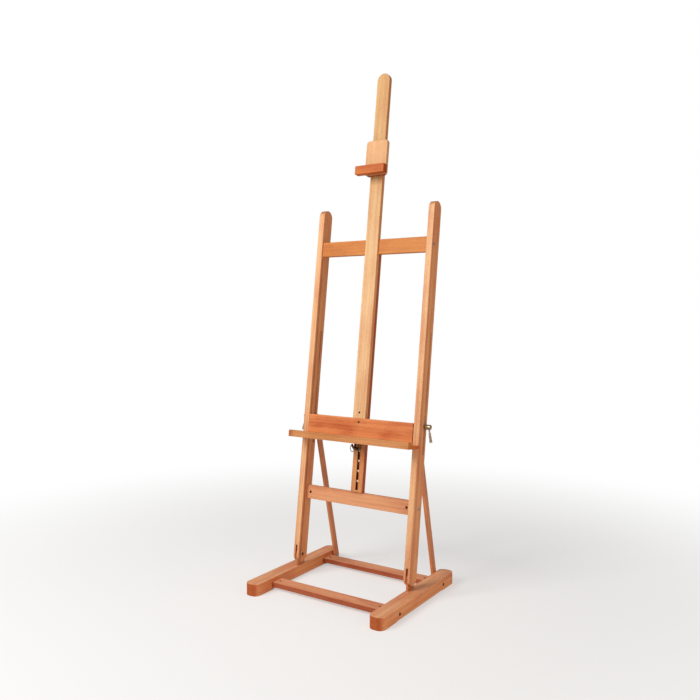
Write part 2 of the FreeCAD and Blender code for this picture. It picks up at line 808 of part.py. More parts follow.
def clamp_lip():
    """Lip bar in front of the plate; its neck bridges the channel that takes a canvas."""
    half = clamp_half_width + clamp_lip_overhang
    back = clamp_front - canvas_gap
    top = clamp_lip_bottom + clamp_lip_height
    bar = board(-half, half, back - clamp_lip_thickness, back, clamp_lip_bottom, top)
    neck_half = clamp_half_width
    neck = box(-neck_half, neck_half, back - lap, clamp_front, top - clamp_neck_height, top - edge_round)
    return bar.fuse(neck).removeSplitter()


def strap_screw_lines():
    lines = []
    inner = mast_width / 2 + mast_slide_gap
    for side in (-1, 1):
        for z in (strap_bottom + strap_height / 4, strap_bottom + 3 * strap_height / 4):
            x = side * (inner + strap_thickness + strap_flange / 2)
            head = Vector(x, clamp_back + strap_thickness, z)
            lines.append((head - Vector(0, strap_screw_length, 0), head, Vector(0, 1, 0)))
    return lines


def clamp_strap():
    """Steel strap round the back of the mast, with a boss for the clamp screw."""
    inner = mast_width / 2 + mast_slide_gap
    outer = inner + strap_thickness
    z0, z1 = strap_bottom, strap_bottom + strap_height
    leg = box(inner, outer, clamp_back, strap_back + strap_thickness, z0, z1)
    flange = box(inner, outer + strap_flange, clamp_back, clamp_back + strap_thickness, z0, z1)
    back = box(-outer, outer, strap_back, strap_back + strap_thickness, z0, z1)
    middle = strap_bottom + strap_height / 2
    boss_start = strap_back + strap_thickness
    boss = rod_y(boss_start, boss_start + strap_boss_length, 0, middle, strap_boss_radius)
    strap = back.fuse([leg, mirrored(leg), flange, mirrored(flange), boss]).removeSplitter()
    strap = strap.cut(rod_y(strap_back - over, boss_start + strap_boss_length + over, 0, middle,
                            knob_screw_radius + fit))
    for line in strap_screw_lines():
        strap = strap.cut(screw_hole(*line))
    return strap


def strap_screws():
    return group([wood_screw(*line) for line in strap_screw_lines()])


def knob_start():
    return strap_back + strap_thickness + strap_boss_length + knob_standoff


def clamp_screw():
    middle = strap_bottom + strap_height / 2
    return rod_y(mast_back + knob_screw_gap, knob_start() + knob_length - knob_cover, 0, middle,
                 knob_screw_radius)


def clamp_knob():
    """Turned hardwood knob with finger hollows."""
    middle = strap_bottom + strap_height / 2
    start = knob_start()
    knob = rod_y(start, start + knob_length, 0, middle, knob_radius)
    knob = knob.makeFillet(knob_edge_round, [e for e in knob.Edges if e.BoundBox.YLength < flatness])
    reach = knob_radius + knob_hollow_offset
    for k in range(knob_hollows):
        angle = 2 * math.pi * k / knob_hollows
        knob = knob.cut(rod_y(start - over, start + knob_length + over, reach * math.cos(angle),
                              middle + reach * math.sin(angle), knob_hollow_radius))
    return knob.cut(rod_y(start - over, start + knob_length - knob_cover, 0, middle,
                          knob_screw_radius + fit))


# ---- struts and tilt clamps ----

def on_frame(y, z):
    """Where a point of the upright frame lands once it leans, as (y, z)."""
    lean = math.radians(lean_angle)
    return (pivot_y + y * math.cos(lean) + z * math.sin(lean),
            pivot_z - y * math.sin(lean) + z * math.cos(lean))


def strut_line():
    """Length between a strut's holes, and its lean forward in degrees."""
    top_y, top_z = on_frame(clamp_slot_y, clamp_height_on_frame)
    dy, dz = strut_foot_y - top_y, top_z - strut_foot_z
    return math.hypot(dy, dz), math.degrees(math.atan2(dy, dz))


def set_on_strut(shape):
    """Put a piece drawn on an upright strut, foot hole at z = 0, on the leaning strut."""
    place = Placement(Vector(0, strut_foot_y, strut_foot_z), Rotation(Vector(1, 0, 0), strut_line()[1]))
    return shape.transformed(place.toMatrix(), True)


def strut_right():
    length = strut_line()[0]
    radius = strut_depth / 2
    strut = ease_ends(capsule_x(strut_inner_x, strut_outer_x, 0, 0, length, radius), "X", edge_round)
    strut = strut.cut(rod_x(strut_inner_x - over, strut_outer_x + over, 0, 0, bolt_radius + fit))
    strut = strut.cut(rod_x(strut_inner_x - over, strut_outer_x + over, 0, length,
                            clamp_bolt_radius + hole_fit))
    return set_on_strut(strut)


def clamp_bolt_head_right():
    """Domed head and neck of the tilt clamp's bolt, held in the strut."""
    length = strut_line()[0]
    neck = rod_x(strut_inner_x - over, strut_outer_x - bolt_neck_gap, 0, length, clamp_bolt_radius)
    sphere_radius = (bolt_dome_radius ** 2 + bolt_dome_height ** 2) / (2 * bolt_dome_height)
    centre = Vector(strut_inner_x - bolt_dome_height + sphere_radius, 0, length)
    dome = Part.makeSphere(sphere_radius, centre)
    keep = rod_x(strut_inner_x - bolt_dome_height - over, strut_inner_x, 0, length, bolt_dome_radius)
    return set_on_strut(dome.common(keep).fuse(neck).removeSplitter())


def strut_pivot_hole():
    """Hole in the foot for the bolt at the strut's foot."""
    return rod_x(foot_inner_x - over, foot_inner_x + strut_bolt_depth + strut_bolt_end_gap, strut_foot_y,
                 strut_foot_z, bolt_radius + hole_fit)


def strut_pivot_bolts():
    end = foot_inner_x + strut_bolt_depth
    shank = rod_x(strut_inner_x - over, end, strut_foot_y, strut_foot_z, bolt_radius)
    under_head = strut_inner_x - strut_side_gap
    head = rod_x(under_head - strut_head_height, under_head, strut_foot_y, strut_foot_z, strut_head_radius)
    free_rim = [e for e in head.Edges if e.BoundBox.XMax < under_head - strut_head_height / 2]
    head = head.makeFillet(strut_head_round, free_rim)
    return group(both_sides(head.fuse(shank).removeSplitter()))


def strut_spacers():
    spacer = rod_x(strut_outer_x + strut_side_gap, foot_inner_x, strut_foot_y, strut_foot_z, spacer_radius)
    bore = rod_x(strut_outer_x - over, foot_inner_x + over, strut_foot_y, strut_foot_z,
                 bolt_radius + hole_fit)
    return group(both_sides(spacer.cut(bore)))


def clamp_washer_right():
    x0 = upright_outer_x + washer_gap
    washer = rod_x(x0, x0 + washer_thickness, clamp_slot_y, clamp_height_on_frame, washer_radius)
    return washer.cut(rod_x(x0 - over, x0 + washer_thickness + over, clamp_slot_y, clamp_height_on_frame,
                            clamp_bolt_radius + fit))


def hub_start():
    return upright_outer_x + washer_gap + washer_thickness + hub_gap


def lever_line():
    """Start and unit direction of the lever rod, which hangs down and leans outwards."""
    splay = math.radians(rod_splay)
    start = Vector(hub_start() + rod_from_hub_end, clamp_slot_y, clamp_height_on_frame)
    return start, Vector(math.sin(splay), 0, -math.cos(splay))


def clamp_lever_right():
    """Cast hub, lever rod and the threaded shank that passes through the tilt slot."""
    x0 = hub_start()
    hub = rod_x(x0, x0 + hub_length, clamp_slot_y, clamp_height_on_frame, hub_radius)
    hub = hub.makeFillet(hub_round, [e for e in hub.Edges if e.BoundBox.XMin > x0 + hub_length / 2])
    shank = rod_x(upright_inner_x + shank_end_gap, x0 + over, clamp_slot_y, clamp_height_on_frame,
                  clamp_bolt_radius)
    start, way = lever_line()
    rod = Part.makeCylinder(rod_radius, rod_length, start, way)
    return hub.fuse([shank, rod]).removeSplitter()


def lever_grip_right():
    """Tapered sleeve on the end of the lever rod."""
    start, way = lever_line()
    cone = Part.makeCone(grip_thin_radius, grip_thick_radius, grip_length, start + way * grip_start, way)
    ends = [e for e in cone.Edges if len(e.Vertexes) == 1]
    grip = cone.makeFillet(grip_round, ends)
    return grip.cut(Part.makeCylinder(rod_radius + hole_fit, rod_length + grip_end_gap, start, way))


# ---- the pieces and their files ----

def frame_pieces():
    return {
        "upright_right": upright_right(),
        "upright_left": mirrored(upright_right()),
        "top_crossbar": top_crossbar(),
        "lower_crossbar": lower_crossbar(),
        "ratchet_post": ratchet_post(),
        "post_screws": post_screws(),
        "crossbar_bolts": crossbar_bolts(),
        "crossbar_barrel_nuts": crossbar_barrel_nuts(),
        "pivot_bolts": pivot_bolts(),
        "mast": mast(),
        "mast_joint_plate": mast_joint_plate(),
        "shelf_board": shelf_board(),
        "shelf_screws": shelf_screws(),
        "tray_board": tray_board(),
        "tray_lip": tray_lip(),
        "tray_screws": tray_screws(),
        "pawl_ears": pawl_ears(),
        "ear_screws": ear_screws(),
        "pawl": pawl(),
        "pawl_shaft": pawl_shaft(),
        "pawl_arm": pawl_arm(),
        "pull_ring": pull_ring(),
        "canvas_clamp_plate": clamp_plate(),
        "canvas_clamp_lip": clamp_lip(),
        "canvas_clamp_strap": clamp_strap(),
        "strap_screws": strap_screws(),
        "canvas_clamp_screw": clamp_screw(),
        "canvas_clamp_knob": clamp_knob(),
        "clamp_washer_right": clamp_washer_right(),
        "clamp_washer_left": mirrored(clamp_washer_right()),
        "clamp_lever_right": clamp_lever_right(),
        "clamp_lever_left": mirrored(clamp_lever_right()),
        "lever_grip_right": lever_grip_right(),
        "lever_grip_left": mirrored(lever_grip_right()),
    }


def base_pieces():
    return {
        "foot_right": foot_right(),
        "foot_left": mirrored(foot_right()),
        "base_bar_front": base_bar(front_bar_y),
        "base_bar_rear": base_bar(rear_bar_y),
        "base_bolts": base_bolts(),
        "base_barrel_nuts": base_barrel_nuts(),
        "tongue_right": tongue_right(),
        "tongue_left": mirrored(tongue_right()),
        "strut_pivot_bolts": strut_pivot_bolts(),
        "strut_spacers": strut_spacers(),
        "strut_right": strut_right(),
        "strut_left": mirrored(strut_right()),
        "clamp_bolt_head_right": clamp_bolt_head_right(),
        "clamp_bolt_head_left": mirrored(clamp_bolt_head_right()),
    }


os.makedirs("parts", exist_ok=True)
pieces = base_pieces()
pieces.update({name: leaned(shape) for name, shape in frame_pieces().items()})
for name, shape in pieces.items():
    shape.exportStep("parts/" + name + ".step")
    state = "valid" if shape.isValid() else "NOT VALID"
    print(name, len(shape.Solids), state, round(shape.Volume / 1000, 2), "cm3")
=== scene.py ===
import math

import bpy
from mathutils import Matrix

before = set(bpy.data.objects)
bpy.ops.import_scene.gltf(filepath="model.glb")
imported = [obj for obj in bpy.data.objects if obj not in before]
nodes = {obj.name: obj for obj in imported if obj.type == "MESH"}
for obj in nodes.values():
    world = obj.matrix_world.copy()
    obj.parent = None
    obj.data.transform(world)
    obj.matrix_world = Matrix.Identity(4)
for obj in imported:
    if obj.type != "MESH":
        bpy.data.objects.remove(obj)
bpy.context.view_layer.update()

scene = bpy.context.scene


# Studio: a plain pale floor, a large soft light from the front left, a weak fill from the right
# and an even pale surround. The camera stands to the right of the easel at chest height.
def tone(red, green, blue):
    """A colour given as 0 to 255 display values, as the shaders' linear values."""
    return tuple(((v / 255 + 0.055) / 1.055) ** 2.4 for v in (red, green, blue)) + (1.0,)


WHITE = (1.0, 1.0, 1.0, 1.0)
SURROUND_COLOUR = (1.0, 0.975, 0.95, 1.0)
SURROUND_STRENGTH = 0.36

scene.view_settings.view_transform = "Standard"
scene.view_settings.look = "None"

surround = bpy.data.worlds.new("studio_surround")
surround.use_nodes = True
sky = surround.node_tree
sky.nodes.clear()
seen = sky.nodes.new("ShaderNodeBackground")
seen.inputs["Color"].default_value = WHITE
ambient = sky.nodes.new("ShaderNodeBackground")
ambient.inputs["Color"].default_value = SURROUND_COLOUR
ambient.inputs["Strength"].default_value = SURROUND_STRENGTH
path = sky.nodes.new("ShaderNodeLightPath")
chosen = sky.nodes.new("ShaderNodeMixShader")
out = sky.nodes.new("ShaderNodeOutputWorld")
sky.links.new(path.outputs["Is Camera Ray"], chosen.inputs[0])
sky.links.new(ambient.outputs[0], chosen.inputs[1])
sky.links.new(seen.outputs[0], chosen.inputs[2])
sky.links.new(chosen.outputs[0], out.inputs["Surface"])
scene.world = surround

LIT_POINT = (0.0, 0.05, 1.15)    # the middle of the easel, which both softboxes face
QUARTER_TURN = math.pi / 2


def softbox(name, place, size, watts, colour):
    """A square area light that faces the middle of the easel."""
    lamp = bpy.data.lights.new(name, "AREA")
    lamp.size = size
    lamp.energy = watts
    lamp.color = colour
    holder = bpy.data.objects.new(name, lamp)
    scene.collection.objects.link(holder)
    holder.location = place
    dx, dy, dz = (t - p for t, p in zip(LIT_POINT, place))
    rise = math.atan2(dz, math.hypot(dx, dy))
    bearing = math.atan2(dy, dx)
    holder.rotation_euler = (QUARTER_TURN + rise, 0.0, bearing - QUARTER_TURN)


softbox("key_softbox", place=(-1.2, -2.9, 2.9), size=1.8, watts=108.0, colour=(1.0, 0.98, 0.95))
softbox("fill_softbox", place=(3.2, -0.8, 1.5), size=2.0, watts=20.0, colour=(1.0, 0.84, 0.68))

FLOOR_SIZE = 60.0
FLOOR_GREY = (0.93, 0.93, 0.925, 1.0)
FLOOR_ROUGHNESS = 0.85
FADE_START = 0.75                # distance from the easel where the floor starts to turn white
FADE_END = 2.6
FADE_LEAST = 0.45

bpy.ops.mesh.primitive_plane_add(size=FLOOR_SIZE, location=(0.0, 0.0, 0.0))
floor = bpy.context.object
floor.name = "studio_floor"
floor_paint = bpy.data.materials.new("studio_floor_paint")
floor_paint.use_nodes = True
paint = floor_paint.node_tree
matt = paint.nodes["Principled BSDF"]
matt.inputs["Base Color"].default_value = FLOOR_GREY
matt.inputs["Roughness"].default_value = FLOOR_ROUGHNESS
glow = paint.nodes.new("ShaderNodeEmission")
glow.inputs["Color"].default_value = WHITE
centred = paint.nodes.new("ShaderNodeTexCoord")
around = paint.nodes.new("ShaderNodeVectorMath")
around.operation = "LENGTH"
paint.links.new(centred.outputs["Object"], around.inputs[0])
sweep = paint.nodes.new("ShaderNodeMapRange")
sweep.interpolation_type = "SMOOTHSTEP"
sweep.inputs["From Min"].default_value = FADE_START
sweep.inputs["From Max"].default_value = FADE_END
sweep.inputs["To Min"].default_value = FADE_LEAST
paint.links.new(around.outputs["Value"], sweep.inputs["Value"])
eye = paint.nodes.new("ShaderNodeLightPath")
fade = paint.nodes.new("ShaderNodeMath")
fade.operation = "MULTIPLY"
paint.links.new(sweep.outputs[0], fade.inputs[0])
paint.links.new(eye.outputs["Is Camera Ray"], fade.inputs[1])
joined = paint.nodes.new("ShaderNodeMixShader")
paint.links.new(fade.outputs[0], joined.inputs[0])
paint.links.new(matt.outputs[0], joined.inputs[1])
paint.links.new(glow.outputs[0], joined.inputs[2])
paint.links.new(joined.outputs[0], paint.nodes["Material Output"].inputs["Surface"])
floor.data.materials.append(floor_paint)

SENSOR_WIDTH = 36.0
FOCAL_LENGTH = 38.01
CAMERA_PLACE = (1.5242, -2.3136, 1.0459)
CAMERA_PITCH = 87.18
CAMERA_TURN = 33.50

lens = bpy.data.cameras.new("camera")
lens.sensor_width = SENSOR_WIDTH
lens.lens = FOCAL_LENGTH
camera = bpy.data.objects.new("camera", lens)
scene.collection.objects.link(camera)
camera.location = CAMERA_PLACE
camera.rotation_euler = (math.radians(CAMERA_PITCH), 0.0, math.radians(CAMERA_TURN))
scene.camera = camera


# Eased edges: every piece of the easel has its corners knocked off, and handling rubs them.
# The group compares the surface with a rounded copy of itself and gives a mask along the corners.
def new_group(name, inputs, outputs):
    """An empty shader group with its input and output sockets."""
    group = bpy.data.node_groups.new(name, "ShaderNodeTree")
    for label, kind, value in inputs:
        socket = group.interface.new_socket(name=label, in_out="INPUT", socket_type=kind)
        if value is not None:
            socket.default_value = value
    for label, kind in outputs:
        group.interface.new_socket(name=label, in_out="OUTPUT", socket_type=kind)
    return group, group.nodes.new("NodeGroupInput"), group.nodes.new("NodeGroupOutput")


def math_node(tree, operation, first, second=None, clamp=False):
    """A Math node with sockets or numbers as its inputs; gives its output socket."""
    node = tree.nodes.new("ShaderNodeMath")
    node.operation = operation
    node.use_clamp = clamp
    for slot, value in zip(node.inputs, (first, second)):
        if isinstance(value, (int, float)):
            slot.default_value = value
        elif value is not None:
            tree.links.new(value, slot)
    return node.outputs[0]


def stepped(tree, value, low, high, to_low=0.0, to_high=1.0):
    """A smooth step of a value between two limits."""
    node = tree.nodes.new("ShaderNodeMapRange")
    node.interpolation_type = "SMOOTHSTEP"
    tree.links.new(value, node.inputs["Value"])
    node.inputs["From Min"].default_value = low
    node.inputs["From Max"].default_value = high
    node.inputs["To Min"].default_value = to_low
    node.inputs["To Max"].default_value = to_high
    return node.outputs[0]


BEVEL_SAMPLES = 4
PATCH_DETAIL = 3.0

edge_group, edge_in, edge_out = new_group(
    "rubbed_edges",
    inputs=[
        ("Position", "NodeSocketVector", None),
        ("Width", "NodeSocketFloat", 0.003),
        ("Breaks", "NodeSocketFloat", 60.0),
    ],
    outputs=[("Mask", "NodeSocketFloat")],
)
rounded = edge_group.nodes.new("ShaderNodeBevel")
rounded.samples = BEVEL_SAMPLES
edge_group.links.new(edge_in.outputs["Width"], rounded.inputs["Radius"])
surface = edge_group.nodes.new("ShaderNodeNewGeometry")
agree = edge_group.nodes.new("ShaderNodeVectorMath")
agree.operation = "DOT_PRODUCT"
edge_group.links.new(rounded.outputs[0], agree.inputs[0])
edge_group.links.new(surface.outputs["Normal"], agree.inputs[1])
corner = stepped(edge_group, agree.outputs["Value"], low=0.97, high=0.80)
patches = edge_group.nodes.new("ShaderNodeTexNoise")
patches.inputs["Detail"].default_value = PATCH_DETAIL
edge_group.links.new(edge_in.outputs["Position"], patches.inputs["Vector"])
edge_group.links.new(edge_in.outputs["Breaks"], patches.inputs["Scale"])
broken = stepped(edge_group, patches.outputs[0], low=0.35, high=0.65, to_low=0.35, to_high=1.0)
edge_group.links.new(math_node(edge_group, "MULTIPLY", corner, broken), edge_out.inputs["Mask"])


# Oiled beech: pinkish tan with soft growth rings, fine straight fibre and the short dark
# flecks of its rays. Sawn ends drink more oil and are darker. Grain runs along local Z.
# Faces along chosen axes get a darker, redder tint, partly edge figure and partly painted shade.
def mixed(tree, amount, first, second, blend="MIX"):
    """A colour mix with sockets, numbers or colours as its inputs."""
    node = tree.nodes.new("ShaderNodeMix")
    node.data_type = "RGBA"
    node.blend_type = blend
    for slot, value in zip((node.inputs[0], node.inputs[6], node.inputs[7]), (amount, first, second)):
        if isinstance(value, bpy.types.NodeSocket):
            tree.links.new(value, slot)
        else:
            slot.default_value = value
    return node.outputs[2]


def stretched_noise(tree, vector, scale, detail, roughness=0.5):
    """Noise on coordinates multiplied by a scale for each axis."""
    spread = tree.nodes.new("ShaderNodeVectorMath")
    spread.operation = "MULTIPLY"
    tree.links.new(vector, spread.inputs[0])
    spread.inputs[1].default_value = scale
    noise = tree.nodes.new("ShaderNodeTexNoise")
    noise.inputs["Scale"].default_value = 1.0
    noise.inputs["Detail"].default_value = detail
    noise.inputs["Roughness"].default_value = roughness
    tree.links.new(spread.outputs[0], noise.inputs["Vector"])
    return noise.outputs[0]


NO_FACES = (0.0, 0.0, 0.0)
SIDE_FIGURE_AND_SHADE_TINT = (255, 227, 205)
END_TINT = (183, 119, 81)
FLECK_TINT = (168, 120, 100)
RING_STRETCH = (1.0, 1.0, 0.045)          # growth rings drawn out along the grain
RING_SCALE = 62.0
RING_DISTORTION = 2.6
RING_DETAIL = 2.0
RING_DETAIL_SCALE = 0.35
RING_SHARPNESS = 2.2
FLECK_STRENGTH = 0.5
END_EXTRA_ROUGHNESS = 0.14
FIBRE_HEIGHT = 0.55
FLECK_HEIGHT = 0.35
RING_HEIGHT = 0.18

beech_group, beech_in, beech_out = new_group(
    "oiled_beech",
    inputs=[
        ("Grain", "NodeSocketVector", None),
        ("Facing", "NodeSocketVector", None),
        ("Light", "NodeSocketColor", tone(240, 180, 130)),
        ("Dark", "NodeSocketColor", tone(205, 130, 85)),
        ("Ring Strength", "NodeSocketFloat", 0.35),
        ("Mottle", "NodeSocketFloat", 0.3),
        ("Figure And Shade Faces", "NodeSocketVector", NO_FACES),
        ("Edge Tint", "NodeSocketColor", tone(*SIDE_FIGURE_AND_SHADE_TINT)),
        ("End Tint", "NodeSocketColor", tone(*END_TINT)),
    ],
    outputs=[
        ("Color", "NodeSocketColor"),
        ("Roughness", "NodeSocketFloat"),
        ("Height", "NodeSocketFloat"),
    ],
)
tree = beech_group
grain = beech_in.outputs["Grain"]
ring_spread = tree.nodes.new("ShaderNodeVectorMath")
ring_spread.operation = "MULTIPLY"
ring_spread.inputs[1].default_value = RING_STRETCH
tree.links.new(grain, ring_spread.inputs[0])
rings = tree.nodes.new("ShaderNodeTexWave")
rings.wave_type = "RINGS"
rings.rings_direction = "Z"
rings.wave_profile = "SAW"
rings.inputs["Scale"].default_value = RING_SCALE
rings.inputs["Distortion"].default_value = RING_DISTORTION
rings.inputs["Detail"].default_value = RING_DETAIL
rings.inputs["Detail Scale"].default_value = RING_DETAIL_SCALE
tree.links.new(ring_spread.outputs[0], rings.inputs["Vector"])
ring_line = math_node(tree, "POWER", rings.outputs[1], RING_SHARPNESS)
fibre = stretched_noise(tree, grain, scale=(900.0, 900.0, 14.0), detail=4.0, roughness=0.6)
coarse = stretched_noise(tree, grain, scale=(110.0, 110.0, 2.2), detail=3.0)
fleck_noise = stretched_noise(tree, grain, scale=(1150.0, 1150.0, 230.0), detail=1.0)
flecks = stepped(tree, fleck_noise, low=0.60, high=0.70)
blotch = stretched_noise(tree, grain, scale=(16.0, 16.0, 7.0), detail=3.0)
blotches = stepped(tree, blotch, low=0.40, high=0.66)
figure = math_node(tree, "MULTIPLY", ring_line, beech_in.outputs["Ring Strength"])
streaks = stepped(tree, coarse, low=0.35, high=0.70, to_high=0.42)
cloud = math_node(tree, "MULTIPLY", blotches, beech_in.outputs["Mottle"])
amount = math_node(tree, "ADD", figure, streaks)
amount = math_node(tree, "ADD", amount, cloud)
wood = mixed(tree, amount, beech_in.outputs["Light"], beech_in.outputs["Dark"])
thread = stepped(tree, fibre, low=0.30, high=0.72, to_low=0.90, to_high=1.07)
thread_colour = tree.nodes.new("ShaderNodeCombineColor")
for slot in thread_colour.inputs:
    tree.links.new(thread, slot)
wood = mixed(tree, 1.0, wood, thread_colour.outputs[0], blend="MULTIPLY")
fleck_amount = math_node(tree, "MULTIPLY", flecks, FLECK_STRENGTH)
flecked = mixed(tree, 1.0, wood, tone(*FLECK_TINT), blend="MULTIPLY")
wood = mixed(tree, fleck_amount, wood, flecked)
# Side tint by facing: partly edge figure, and partly painted shade on faces turned from the light.
sides = tree.nodes.new("ShaderNodeVectorMath")
sides.operation = "ABSOLUTE"
tree.links.new(beech_in.outputs["Facing"], sides.inputs[0])
weighed = tree.nodes.new("ShaderNodeVectorMath")
weighed.operation = "DOT_PRODUCT"
tree.links.new(sides.outputs[0], weighed.inputs[0])
tree.links.new(beech_in.outputs["Figure And Shade Faces"], weighed.inputs[1])
figure_and_shade_wood = mixed(tree, 1.0, wood, beech_in.outputs["Edge Tint"], blend="MULTIPLY")
wood = mixed(tree, weighed.outputs["Value"], wood, figure_and_shade_wood)
parts = tree.nodes.new("ShaderNodeSeparateXYZ")
tree.links.new(beech_in.outputs["Facing"], parts.inputs[0])
along_grain = math_node(tree, "ABSOLUTE", parts.outputs[2])
sawn_end = stepped(tree, along_grain, low=0.30, high=0.98)
end_colour = mixed(tree, 1.0, wood, beech_in.outputs["End Tint"], blend="MULTIPLY")
wood = mixed(tree, sawn_end, wood, end_colour)
tree.links.new(wood, beech_out.inputs["Color"])
rough = stepped(tree, fibre, low=0.25, high=0.75, to_low=0.40, to_high=0.52)
rough = math_node(tree, "ADD", rough, math_node(tree, "MULTIPLY", sawn_end, END_EXTRA_ROUGHNESS))
tree.links.new(rough, beech_out.inputs["Roughness"])
height = math_node(tree, "MULTIPLY", fibre, FIBRE_HEIGHT)
height = math_node(tree, "SUBTRACT", height, math_node(tree, "MULTIPLY", flecks, FLECK_HEIGHT))
height = math_node(tree, "SUBTRACT", height, math_node(tree, "MULTIPLY", ring_line, RING_HEIGHT))
tree.links.new(height, beech_out.inputs["Height"])

BEECH_IOR = 1.5
BEECH_SPECULAR = 0.22
BEECH_EDGE_WIDTH = 0.0028
BEECH_EDGE_BREAKS = 45.0
BEECH_EDGE_TONE = (235, 180, 130)
BEECH_EDGE_WEAR = 0.3
BEECH_BUMP = 0.35
BEECH_BUMP_DEPTH = 0.0004


def placed_group(tree, group):
    """A group's node in a material."""
    node = tree.nodes.new("ShaderNodeGroup")
    node.node_tree = group
    return node


def beech(name, turn, shift, light, dark, ring_strength=0.35, mottle=0.3, figure_and_shade_faces=NO_FACES,
          figure_and_shade_tint=SIDE_FIGURE_AND_SHADE_TINT, end_tint=END_TINT):
    """A finished beech material; turn lays the grain along the piece, and shift picks the plank."""
    material = bpy.data.materials.new(name)
    material.use_nodes = True
    tree = material.node_tree
    shader = tree.nodes["Principled BSDF"]
    shader.inputs["IOR"].default_value = BEECH_IOR
    shader.inputs["Specular IOR Level"].default_value = BEECH_SPECULAR
    place = tree.nodes.new("ShaderNodeTexCoord")
    lay = tree.nodes.new("ShaderNodeMapping")
    lay.inputs["Rotation"].default_value = [math.radians(a) for a in turn]
    lay.inputs["Location"].default_value = shift
    face = tree.nodes.new("ShaderNodeMapping")
    face.vector_type = "NORMAL"
    face.inputs["Rotation"].default_value = [math.radians(a) for a in turn]
    tree.links.new(place.outputs["Object"], lay.inputs["Vector"])
    tree.links.new(place.outputs["Normal"], face.inputs["Vector"])
    timber = placed_group(tree, beech_group)
    timber.inputs["Light"].default_value = tone(*light)
    timber.inputs["Dark"].default_value = tone(*dark)
    timber.inputs["Ring Strength"].default_value = ring_strength
    timber.inputs["Mottle"].default_value = mottle
    timber.inputs["Figure And Shade Faces"].default_value = figure_and_shade_faces
    timber.inputs["Edge Tint"].default_value = tone(*figure_and_shade_tint)
    timber.inputs["End Tint"].default_value = tone(*end_tint)
    tree.links.new(lay.outputs[0], timber.inputs["Grain"])
    tree.links.new(face.outputs[0], timber.inputs["Facing"])
    rubbed = placed_group(tree, edge_group)
    rubbed.inputs["Width"].default_value = BEECH_EDGE_WIDTH
    rubbed.inputs["Breaks"].default_value = BEECH_EDGE_BREAKS
    tree.links.new(lay.outputs[0], rubbed.inputs["Position"])
    worn = math_node(tree, "MULTIPLY", rubbed.outputs["Mask"], BEECH_EDGE_WEAR)
    colour = mixed(tree, worn, timber.outputs["Color"], tone(*BEECH_EDGE_TONE))
    tree.links.new(colour, shader.inputs["Base Color"])
    tree.links.new(timber.outputs["Roughness"], shader.inputs["Roughness"])
    bump = tree.nodes.new("ShaderNodeBump")
    bump.inputs["Strength"].default_value = BEECH_BUMP
    bump.inputs["Distance"].default_value = BEECH_BUMP_DEPTH
    tree.links.new(timber.outputs["Height"], bump.inputs["Height"])
    tree.links.new(bump.outputs[0], shader.inputs["Normal"])
    return material


def dress(node_name, material):
    """Gives a CAD piece its finish."""
    piece = nodes[node_name]
    piece.data.materials.clear()
    piece.data.materials.append(material)


# Feet: two heavy beech runners with round ends, sawn with the grain along their length and
# eased all round, hollowed a little underneath so that they stand on their ends.
ALONG_Y = (90.0, 0.0, 0.0)
SIDE_FACES = (1.0, 0.0, 0.0)
FOOT_PLANKS = {"left": (0.31, 0.07, 1.3), "right": (0.02, 0.11, 4.1)}
# Their sides get the side tint, partly edge figure and partly painted shade.
for side, shift in FOOT_PLANKS.items():
    foot_wood = beech(
        f"foot_beech_{side}", turn=ALONG_Y, shift=shift, light=(245, 185, 135), dark=(215, 130, 90),
        ring_strength=0.4, mottle=0.35, figure_and_shade_faces=SIDE_FACES, figure_and_shade_tint=(255, 230, 205),
        end_tint=(195, 140, 100),
    )
    dress(f"foot_{side}", foot_wood)

# Base bars: two flat rails bolted between the feet, face up, grain across the easel.
# Their tops catch the light, and their front edges are tinted darker and redder, partly edge
# figure and partly painted shade.
ALONG_X = (0.0, -90.0, 0.0)
NARROW_FACES = (0.0, 1.0, 0.0)
BAR_PLANKS = {"front": (0.05, 0.06, 7.7), "rear": (0.09, 0.02, 2.9)}
for part, shift in BAR_PLANKS.items():
    bar_wood = beech(
        f"base_bar_beech_{part}", turn=ALONG_X, shift=shift, light=(245, 175, 130), dark=(205, 120, 80),
        ring_strength=0.4, mottle=0.35, figure_and_shade_faces=NARROW_FACES, figure_and_shade_tint=(190, 150, 135),
    )
    dress(f"base_bar_{part}", bar_wood)

# Tongues: hardwood plates glued into the feet, on which the uprights turn.
# They are darker than the rest and hardly seen.
UPRIGHT_GRAIN = (0.0, 0.0, 0.0)
TONGUE_PLANKS = {"left": (0.2, 0.3, 0.6), "right": (0.5, 0.1, 1.9)}
for side, shift in TONGUE_PLANKS.items():
    tongue_wood = beech(
        f"tongue_beech_{side}", turn=UPRIGHT_GRAIN, shift=shift, light=(214, 140, 94),
        dark=(180, 104, 64), ring_strength=0.3,
    )
    dress(f"tongue_{side}", tongue_wood)

# Uprights: long straight-grained posts with rounded tops, grooved inside for the shelf and
# slotted through for the tilt clamps. Their sides are tinted a little redder than their fronts,
# partly edge figure and partly painted shade.
LEAN = 7.68                               # degrees that the frame leans back
ALONG_LEAN = (LEAN, 0.0, 0.0)
UPRIGHT_PLANKS = {"left": (0.24, 0.04, 0.4), "right": (0.03, 0.05, 5.2)}
for side, shift in UPRIGHT_PLANKS.items():
    upright_wood = beech(
        f"upright_beech_{side}", turn=ALONG_LEAN, shift=shift, light=(240, 190, 140),
        dark=(210, 135, 95), ring_strength=0.3, figure_and_shade_faces=SIDE_FACES,
    )
    dress(f"upright_{side}", upright_wood)

